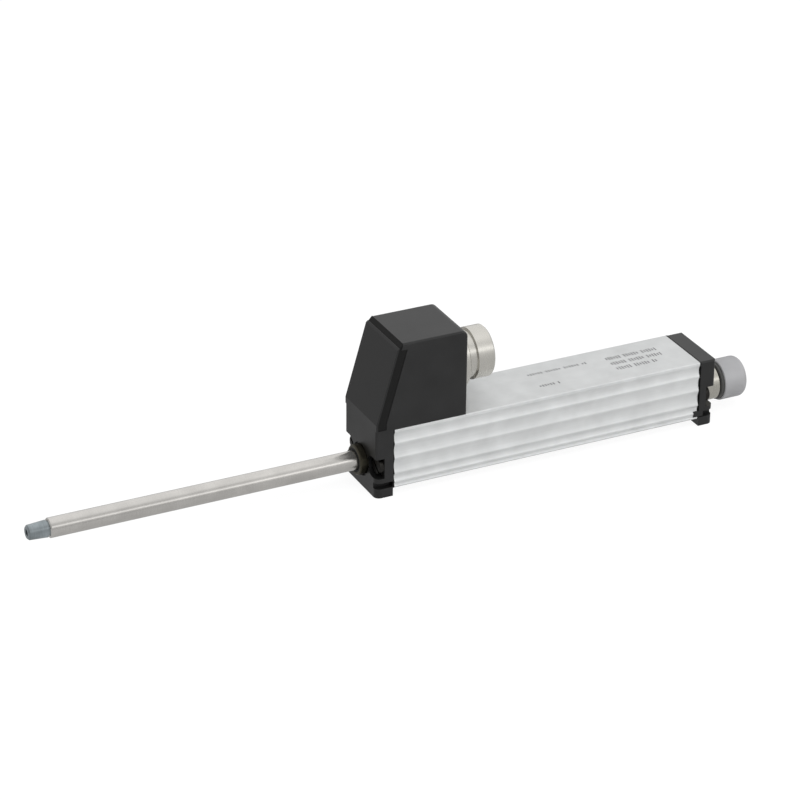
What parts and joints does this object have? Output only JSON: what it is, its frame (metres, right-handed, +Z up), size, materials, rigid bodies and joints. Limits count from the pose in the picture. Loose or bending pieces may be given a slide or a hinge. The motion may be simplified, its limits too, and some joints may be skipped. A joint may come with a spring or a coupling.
{
  "type": "potentiometric displacement sensor",
  "caption": "Spring-loaded linear position sensor: long probe rod through a fluted aluminium housing, black end caps, and a hood with a round plug connector.",
  "frame": {"origin": "middle of the front foot's underside, on the plane that the sensor stands on", "axes": "+X along the rod from the probe tip to the rear knob, +Z up, Y across the housing"},
  "size_m": [0.2363, 0.0212, 0.0495],
  "materials": {
    "anodised_aluminium": "satin, anodised",
    "black_moulding": "fine matt texture",
    "black_cover": "semi-gloss",
    "black_rubber": "matt",
    "stainless_rod": "ground",
    "tip_steel": "hardened, bluish",
    "screw_steel": "burnished",
    "bush_bronze": "dull bronze",
    "nickel_plate": "nickel plated",
    "knob_aluminium": "bead blasted",
    "white_acetal": "machined",
    "spring_steel": "drawn wire",
    "board_laminate": "solder resist",
    "track_ink": "conductive plastic",
    "contact_gold": "gold flashed",
    "insert_plastic": "moulded",
    "lead_insulation": "insulation"
  },
  "bodies": {
    "housing": {"housing_profile": "anodised_aluminium", "front_head": "black_moulding", "hood_cover": "black_cover", "hood_seal": "black_rubber", "rear_cap": "black_moulding", "front_gasket": "black_rubber", "rear_gasket": "black_rubber", "front_cap_screws": "screw_steel", "rear_cap_screws": "screw_steel", "front_bush": "bush_bronze", "rod_seal": "black_rubber", "rear_bush": "bush_bronze", "rear_nut": "nickel_plate", "track_board": "board_laminate", "resistance_tracks": "track_ink", "return_spring": "spring_steel", "connector_shell": "nickel_plate", "connector_nut": "nickel_plate", "connector_seal": "black_rubber", "connector_insert": "insert_plastic", "connector_pins": "contact_gold", "lead_wires": "lead_insulation", "lead_grommet": "black_rubber"},
    "carriage": {"carriage": "white_acetal", "wiper_contacts": "contact_gold"},
    "rod": {"rod": "stainless_rod", "probe_tip": "tip_steel", "retaining_rings": "spring_steel", "thrust_washers": "white_acetal", "stop_buffer": "black_rubber", "rear_knob": "knob_aluminium"}
  },
  "joints": [
    {"name": "rod_slide", "type": "slide", "parent": "housing", "child": "carriage", "axis": [1, 0, 0], "range_m": [0, 0.075], "stiffness_N_per_m": 42, "springref_m": -0.036, "deforming": ["return_spring"]},
    {"name": "rod_spin", "type": "hinge", "parent": "carriage", "child": "rod", "pos_m": [0, 0, 0.0086], "axis": [1, 0, 0], "continuous": true}
  ]
}
